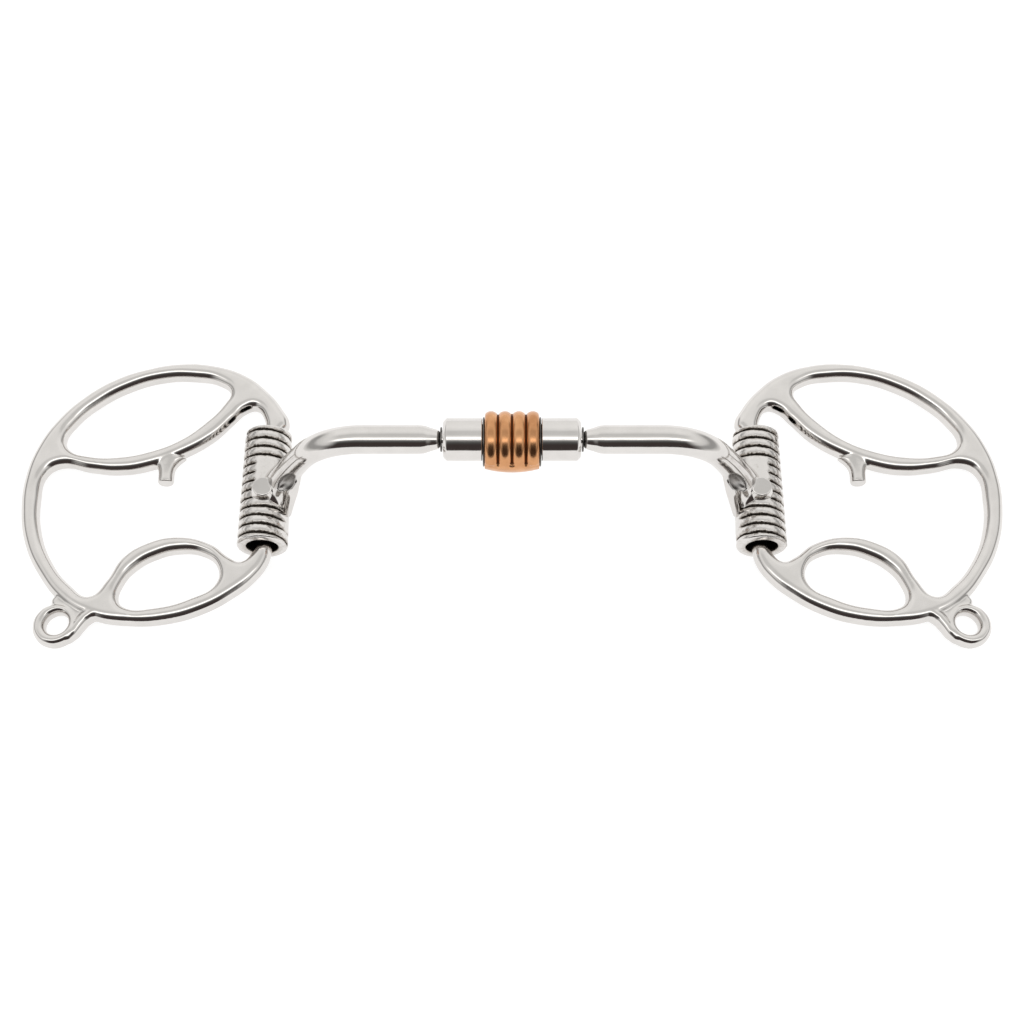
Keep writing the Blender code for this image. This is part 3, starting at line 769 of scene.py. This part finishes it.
def mouth_arm_mesh():
    """The right arm: swivel pin and head, tapered neck, bend, and its foot on the sleeve."""
    route, direction = arm_route()
    end = route[-1][0]
    route.append((end + direction * (FLARE_START + FLARE_OVERLAP), FLARE_R))
    flare = arm_flare(end + direction * FLARE_START, direction)
    body = melted(joined("arm", [tube("rod", route), flare] + arm_gusset()),
                  ARM_VOXEL, ARM_ROUNDS)
    pockets = arm_pockets(direction)
    made = melted(joined("arm", [body, arm_nose()]), FOOT_VOXEL, FOOT_ROUNDS, pockets)
    # Painted shade on the pockets' walls
    paint_shade_in_pockets(made, pockets)
    return made


# ---------------------------------------------------------------- barrel and roller
def collar_mesh():
    """The right collar: a polished cylinder with an end wall that the arm's pin goes through."""
    far, near = BARREL_HALF, COLLAR_INNER_FACE
    wall = far - COLLAR_END_WALL
    hole_r = PIN_R + PIN_HOLE_GAP
    corners = [
        (far, hole_r, 0.1), (far, COLLAR_R - COLLAR_EDGE, 0.5), (far - COLLAR_EDGE, COLLAR_R, 0.7),
        (near, COLLAR_R, 0.35), (near, COLLAR_CAVITY_R, 0.15), (wall, COLLAR_CAVITY_R, 0),
        (wall, hole_r, 0)]
    return turned("collar", filleted(corners), (0, SLEEVE_Y, BARREL_Z), 128)


def spindle_mesh():
    """The rod that the roller runs on, with a plug at each end that closes a collar."""
    plug_r = COLLAR_CAVITY_R - GAP
    plug_end = COLLAR_INNER_FACE + PLUG_LENGTH
    half = [(plug_end, 0), (plug_end, plug_r - PLUG_EDGE), (plug_end - PLUG_EDGE, plug_r),
            (COLLAR_INNER_FACE, plug_r), (COLLAR_INNER_FACE - PLUG_EDGE, SPINDLE_R)]
    profile = half + [(-along, radius) for along, radius in half[::-1]]
    return turned("spindle", profile, (0, SLEEVE_Y, BARREL_Z), 64)


def washer_mesh(start, thickness, inner, outer, drop=0.0):
    """A washer from start outwards along X, on the barrel's axis or below it."""
    hole, rim = WASHER_HOLE_FILLET, WASHER_RIM_FILLET
    corners = [(start + thickness, inner, hole), (start + thickness, outer, rim),
               (start, outer, rim), (start, inner, hole)]
    return turned("washer", filleted(corners), (0, SLEEVE_Y, BARREL_Z - drop), 64)


def rib_fall(off):
    """How far a rib's crown has fallen at a distance from its middle."""
    return RIB_CROWN_R - math.sqrt(RIB_CROWN_R ** 2 - off ** 2)


def roller_stations():
    """(x, height of the ribbed side over ROLLER_R, darkening) along the roller's outside."""
    stations = [(along - ROLLER_HALF, -fall, 0) for along, fall in ROLLER_END]
    for i in range(RIB_COUNT):
        middle = (i - (RIB_COUNT - 1) / 2) * RIB_PITCH
        for off in np.linspace(-RIB_HALF, RIB_HALF, 17):
            stations.append((middle + off, -rib_fall(off), 0))
        if i < RIB_COUNT - 1:
            for past, deep in RIB_GROOVE:
                stations.append((middle + RIB_HALF + past, -rib_fall(RIB_HALF) - deep,
                                 deep / RIB_GROOVE_DEPTH))
    stations += [(ROLLER_HALF - along, -fall, 0) for along, fall in ROLLER_END[::-1]]
    return stations


def roller_mesh():
    """The copper roller: four crowned ribs round its upper side, a plain belly below."""
    angles = whole_turn(ROLLER_STEPS)
    above_level = np.degrees(np.arcsin(np.sin(angles)))
    ribbed = smooth_step(RIBS_START, RIBS_FULL, above_level)
    rows, darkenings = [], []
    for x, height, darkening in roller_stations():
        belly = -ROLLER_BELLY * x * x
        rows.append((x, ROLLER_R + ribbed * height + (1 - ribbed) * belly))
        darkenings.append(darkening * ribbed)
    # Painted shade: the bore, and the end faces towards it, are darkened
    wide, bevel = ROLLER_BORE_R + ROLLER_BEVEL, ROLLER_HALF - ROLLER_BEVEL
    for x, radius in ((ROLLER_HALF, wide), (bevel, ROLLER_BORE_R), (-bevel, ROLLER_BORE_R),
                      (-ROLLER_HALF, wide)):
        rows.append((x, np.full(ROLLER_STEPS, radius)))
        darkenings.append(np.full(ROLLER_STEPS, ROLLER_BORE_PAINTED_SHADE))
    points = np.array([np.stack([np.full(ROLLER_STEPS, x), radius * np.cos(angles),
                                 radius * np.sin(angles)], axis=-1) for x, radius in rows])
    points += np.array([0, SLEEVE_Y, BARREL_Z - ROLLER_DROP])
    mesh = darkened_grid("roller", points, np.array(darkenings))
    mesh.set_sharp_from_angle(angle=math.radians(50))
    return mesh


# ---------------------------------------------------------------- materials
MIX_FACTOR, MIX_FIRST, MIX_SECOND, MIX_RESULT = 0, 6, 7, 2    # a colour mix's sockets
DARKENING_DULLS = 0.45           # roughness that full darkening adds, on stains and painted shade alike
SMUDGES_BLACKEN = 0.55


def node(tree, kind, values=None, **settings):
    """A shader node with some of its input values, by socket name, and its settings."""
    made = tree.nodes.new(kind)
    for key, value in settings.items():
        setattr(made, key, value)
    for key, value in (values or {}).items():
        made.inputs[key].default_value = value
    return made


def wire(tree, source, output, target, socket):
    tree.links.new(source.outputs[output], target.inputs[socket])


def ramp(tree, source, output, stops):
    """A colour ramp through (position, colour) stops."""
    made = tree.nodes.new('ShaderNodeValToRGB')
    elements = made.color_ramp.elements
    while len(elements) < len(stops):
        elements.new(0.5)
    for element, (position, colour) in zip(elements, stops):
        element.position = position
        element.color = (*colour, 1)
    wire(tree, source, output, made, "Fac")
    return made


def new_material(name):
    material = bpy.data.materials.new(name)
    material.use_nodes = True
    tree = material.node_tree
    return material, tree, tree.nodes["Principled BSDF"]


def polished_metal(name, dull, bright, roughness, wave=0.05, scratch=0.02):
    """Polished metal with faint cloudiness, hairline scratches and a soft casting wave."""
    material, tree, shader = new_material(name)
    place = node(tree, 'ShaderNodeTexCoord')
    cloud = node(tree, 'ShaderNodeTexNoise', {"Scale": 220.0, "Detail": 4.0})
    wire(tree, place, "Object", cloud, "Vector")
    tint = ramp(tree, cloud, "Fac", [(0.3, dull), (0.7, bright)])
    # The groove attribute darkens this metal: stains, and painted shade in the arm's pockets and
    # the roller's bore
    darkening = node(tree, 'ShaderNodeAttribute', attribute_name="groove")
    darkened = node(tree, 'ShaderNodeMix', data_type='RGBA')
    wire(tree, darkening, "Fac", darkened, MIX_FACTOR)
    wire(tree, tint, "Color", darkened, MIX_FIRST)
    darkened.inputs[MIX_SECOND].default_value = (*(0.2 * c ** 1.6 for c in dull), 1)
    wire(tree, darkened, MIX_RESULT, shader, "Base Color")
    gloss = node(tree, 'ShaderNodeMapRange',
                 {"To Min": roughness * 0.75, "To Max": roughness * 1.35})
    wire(tree, cloud, "Fac", gloss, "Value")
    dulled = node(tree, 'ShaderNodeMath', {1: DARKENING_DULLS}, operation='MULTIPLY_ADD')
    wire(tree, darkening, "Fac", dulled, 0)
    wire(tree, gloss, "Result", dulled, 2)
    wire(tree, dulled, "Value", shader, "Roughness")
    shader.inputs["Metallic"].default_value = 1.0

    stretch = node(tree, 'ShaderNodeMapping', {"Scale": (900.0, 4500.0, 900.0)})
    wire(tree, place, "Object", stretch, "Vector")
    hairline = node(tree, 'ShaderNodeTexNoise', {"Scale": 1.0, "Detail": 3.0})
    wire(tree, stretch, "Vector", hairline, "Vector")
    fine = node(tree, 'ShaderNodeBump', {"Strength": scratch, "Distance": 0.0001})
    wire(tree, hairline, "Fac", fine, "Height")
    swell = node(tree, 'ShaderNodeTexNoise', {"Scale": 160.0, "Detail": 1.0})
    wire(tree, place, "Object", swell, "Vector")
    broad = node(tree, 'ShaderNodeBump', {"Strength": wave, "Distance": 0.001})
    wire(tree, swell, "Fac", broad, "Height")
    wire(tree, fine, "Normal", broad, "Normal")
    wire(tree, broad, "Normal", shader, "Normal")
    return material


def antiqued_steel():
    """Steel with its grooves and pits blackened, the ridges rubbed bright, and painted shade in
    its bores.
    """
    material, tree, shader = new_material("antiqued_steel")
    place = node(tree, 'ShaderNodeTexCoord')
    # The groove attribute darkens this steel: oxide in the grooves, painted shade in the bores
    darkening = node(tree, 'ShaderNodeAttribute', attribute_name="groove")
    smudge = node(tree, 'ShaderNodeTexNoise',
                  {"Scale": 900.0, "Detail": 5.0, "Roughness": 0.65})
    wire(tree, place, "Object", smudge, "Vector")
    amount = node(tree, 'ShaderNodeMath', {1: SMUDGES_BLACKEN}, operation='MULTIPLY_ADD')
    wire(tree, smudge, "Fac", amount, 0)
    wire(tree, darkening, "Fac", amount, 2)
    tint = ramp(tree, amount, "Value", [
        (0.30, (0.71, 0.685, 0.665)), (0.50, (0.54, 0.505, 0.47)),
        (0.70, (0.15, 0.125, 0.105)), (0.95, (0.030, 0.025, 0.021))])
    wire(tree, tint, "Color", shader, "Base Color")
    gloss = node(tree, 'ShaderNodeMapRange',
                 {"From Min": 0.25, "From Max": 0.9, "To Min": 0.11, "To Max": 0.6})
    wire(tree, amount, "Value", gloss, "Value")
    wire(tree, gloss, "Result", shader, "Roughness")
    shader.inputs["Metallic"].default_value = 1.0
    bump = node(tree, 'ShaderNodeBump', {"Strength": 0.12, "Distance": 0.0003})
    wire(tree, smudge, "Fac", bump, "Height")
    wire(tree, bump, "Normal", shader, "Normal")
    return material


# ---------------------------------------------------------------- build the pieces
finishes = {
    "polished_steel": polished_metal("polished_steel", (0.665, 0.642, 0.622),
                                     (0.715, 0.69, 0.67), 0.085),
    "antiqued_steel": antiqued_steel(),
    "dark_steel": polished_metal("dark_steel", (0.10, 0.095, 0.09), (0.17, 0.16, 0.15), 0.30),
    "copper": polished_metal("copper", (0.52, 0.245, 0.11), (0.71, 0.37, 0.18), 0.20),
}


def place_piece(node_name, body, mesh, slot):
    """A fine piece that stands for a CAD node, rides on its body and has a slot's finish."""
    mesh.materials.clear()
    mesh.materials.append(finishes[slot])
    piece = add_object(node_name + "_fine", mesh)
    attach(piece, body)
    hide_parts(node_name)


ring = cheek_ring_mesh()
arm = mouth_arm_mesh()
collar = collar_mesh()
neck_washer = washer_mesh(BARREL_HALF + GAP, NECK_WASHER_THICKNESS, PIN_R + GAP,
                          NECK_WASHER_R)
roller_washer = washer_mesh(ROLLER_HALF + ROLLER_WASHER_GAP, ROLLER_WASHER_THICKNESS,
                            ROLLER_BORE_R, ROLLER_WASHER_R, ROLLER_DROP)
pin_washer = washer_mesh(BARREL_HALF - COLLAR_END_WALL - PIN_WASHER_FROM_WALL + GAP,
                         PIN_WASHER_THICKNESS, PIN_R + GAP, PIN_WASHER_R)

for side, word in ((-1, "left"), (1, "right")):
    cheek_body, arm_body = word + "_cheek", word + "_arm"
    place_piece(word + "_cheek_ring", cheek_body, on_side(ring, side), "polished_steel")
    place_piece(word + "_mouth_arm", arm_body, on_side(arm, side), "polished_steel")
    place_piece(word + "_cheek_sleeve", arm_body, sleeve_mesh(side), "antiqued_steel")
    place_piece(word + "_neck_washer", arm_body, on_side(neck_washer, side), "dark_steel")
    place_piece(word + "_pin_washer", arm_body, on_side(pin_washer, side), "dark_steel")
    place_piece(word + "_roller_washer", "roller", on_side(roller_washer, side), "dark_steel")
    place_piece(word + "_barrel_collar", "barrel", on_side(collar, side), "polished_steel")

place_piece("roller_spindle", "barrel", spindle_mesh(), "polished_steel")
place_piece("copper_roller", "roller", roller_mesh(), "copper")


# ---------------------------------------------------------------- studio
def grey(value):
    """A grey that is a touch warm."""
    return (value, value, value * 0.985)


DARK_SIDE = (0.056, 0.045, 0.043)
TENT_FROM, TENT_TO = -20, 180
TENT_BANDS = [               # (degrees up from the -Y horizon and over to +Y, colour)
    (-20, grey(1.0)), (-4, grey(0.95)), (3, DARK_SIDE), (33, DARK_SIDE), (44, grey(0.09)),
    (52, grey(0.20)), (58, grey(0.6)), (61, grey(1.0)), (63, grey(2.1)), (71, grey(2.1)),
    (76, grey(1.1)), (85, grey(0.76)), (105, grey(0.74)), (113, grey(0.94)),
    (130, grey(1.06)), (180, grey(1.0))]
TENT_SIDES = [               # (height of a direction's unit vector, colour)
    (0.0, grey(1.0)), (0.06, grey(0.80)), (0.16, grey(0.42)), (0.30, grey(0.42)),
    (0.42, grey(0.80)), (0.60, grey(0.95)), (1.0, grey(1.0))]
SIDES_START, SIDES_FULL = 0.50, 0.78     # how far along X a direction points
FLOOR_HALF = 3.0             # metres
FLOOR_COLOUR = (0.35, 0.35, 0.348, 1)
FLOOR_GLOW = 0.82
CAMERA_ELEVATION = math.radians(63.5)
CAMERA_DISTANCE = 0.5634     # metres
CAMERA_TARGET = Vector((0, -0.0012, 0))      # metres
CAMERA_LENS = 70.3


def floor():
    """The white surface that the bit lies on."""
    bm = bmesh.new()
    bmesh.ops.create_grid(bm, x_segments=1, y_segments=1, size=FLOOR_HALF)
    mesh = mesh_from("floor", bm)
    material, _, shader = new_material("floor")
    shader.inputs["Base Color"].default_value = FLOOR_COLOUR
    shader.inputs["Roughness"].default_value = 0.9
    shader.inputs["Emission Color"].default_value = (1, 1, 1, 1)
    shader.inputs["Emission Strength"].default_value = FLOOR_GLOW
    mesh.materials.append(material)
    add_object("floor", mesh)


def studio_world():
    """A bright tent, dark towards -Y from 3 to 50 degrees up, with a bright strip above."""
    world = bpy.data.worlds.new("studio")
    bpy.context.scene.world = world
    world.use_nodes = True
    tree = world.node_tree
    place = node(tree, 'ShaderNodeTexCoord')
    split = node(tree, 'ShaderNodeSeparateXYZ')
    wire(tree, place, "Generated", split, "Vector")
    back = node(tree, 'ShaderNodeMath', {1: -1.0}, operation='MULTIPLY')
    wire(tree, split, "Y", back, 0)
    angle = node(tree, 'ShaderNodeMath', operation='ARCTAN2')
    wire(tree, split, "Z", angle, 0)
    wire(tree, back, "Value", angle, 1)
    share = node(tree, 'ShaderNodeMapRange', {"From Min": math.radians(TENT_FROM),
                                              "From Max": math.radians(TENT_TO)})
    wire(tree, angle, "Value", share, "Value")
    bands = ramp(tree, share, "Result",
                 [((degrees - TENT_FROM) / (TENT_TO - TENT_FROM), colour)
                  for degrees, colour in TENT_BANDS])

    # Towards the sides the tent is evenly grey, darker just above the floor
    sides = ramp(tree, split, "Z", TENT_SIDES)
    far = node(tree, 'ShaderNodeMath', operation='ABSOLUTE')
    wire(tree, split, "X", far, 0)
    aside = node(tree, 'ShaderNodeMapRange', {"From Min": SIDES_START, "From Max": SIDES_FULL},
                 interpolation_type='SMOOTHSTEP')
    wire(tree, far, "Value", aside, "Value")
    tent = node(tree, 'ShaderNodeMix', data_type='RGBA')
    wire(tree, aside, "Result", tent, MIX_FACTOR)
    wire(tree, bands, "Color", tent, MIX_FIRST)
    wire(tree, sides, "Color", tent, MIX_SECOND)

    # Seen directly it is plain white
    light = node(tree, 'ShaderNodeLightPath')
    seen = node(tree, 'ShaderNodeMix', data_type='RGBA')
    seen.inputs[MIX_SECOND].default_value = (1, 1, 1, 1)
    wire(tree, light, "Is Camera Ray", seen, MIX_FACTOR)
    wire(tree, tent, MIX_RESULT, seen, MIX_FIRST)
    wire(tree, seen, MIX_RESULT, tree.nodes["Background"], "Color")


def camera():
    """High above the floor, from the rein slots' side."""
    back = Vector((0, -math.cos(CAMERA_ELEVATION), math.sin(CAMERA_ELEVATION)))
    lens = bpy.data.cameras.new("camera")
    lens.sensor_width = 36.0
    lens.lens = CAMERA_LENS
    lens.clip_start = 0.01
    made = add_object("camera", lens)
    made.location = CAMERA_TARGET + back * CAMERA_DISTANCE
    made.rotation_euler = (-back).to_track_quat('-Z', 'Y').to_euler()
    bpy.context.scene.camera = made


floor()
studio_world()
camera()
bpy.context.scene.view_settings.view_transform = 'Standard'
